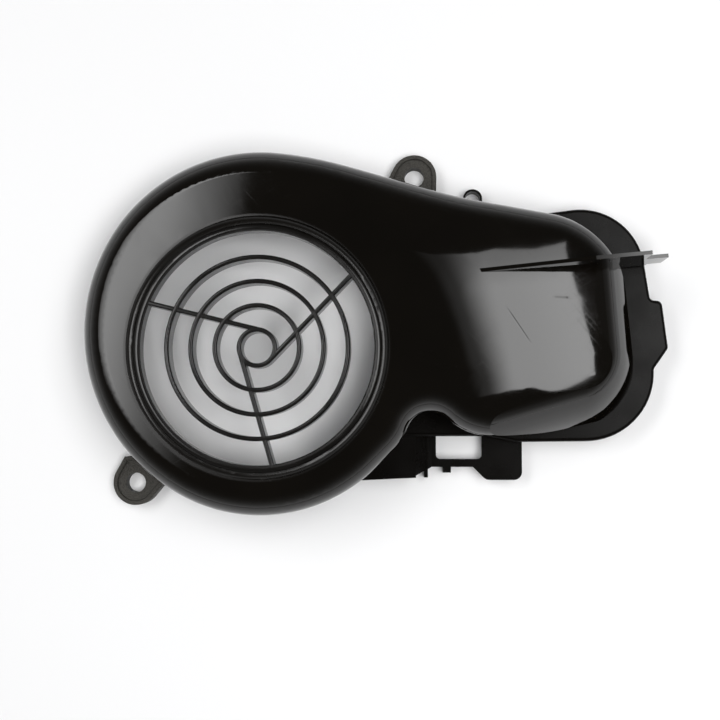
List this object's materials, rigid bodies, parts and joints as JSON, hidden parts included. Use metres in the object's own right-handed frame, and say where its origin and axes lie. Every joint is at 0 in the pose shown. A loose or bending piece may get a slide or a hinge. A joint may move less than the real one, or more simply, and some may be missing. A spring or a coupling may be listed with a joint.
{
  "type": "engine cooling fan shroud",
  "caption": "Black moulded cooling-fan shroud of a small air-cooled engine: a scroll with a round intake grille that runs into a side air duct, open at the rear.",
  "frame": {"origin": "fan axis on the rear plane that meets the crankcase", "axes": "+Z along the fan axis, out through the intake grille; +X along the air duct"},
  "size_m": [0.2559, 0.1625, 0.0558],
  "materials": {
    "gloss_black": "polished injection-moulded black plastic with fine rubbing marks",
    "grille_black": "semi-gloss black plastic",
    "satin_black": "satin black plastic with a fine moulded grain",
    "seal_rubber": "dull black rubber strip",
    "screw_steel": "zinc-plated screw"
  },
  "bodies": {
    "root": {"front_cover": "gloss_black", "intake_grille": "grille_black", "rear_frame": "satin_black", "rear_seal": "seal_rubber", "cover_screws": "screw_steel"}
  },
  "joints": []
}
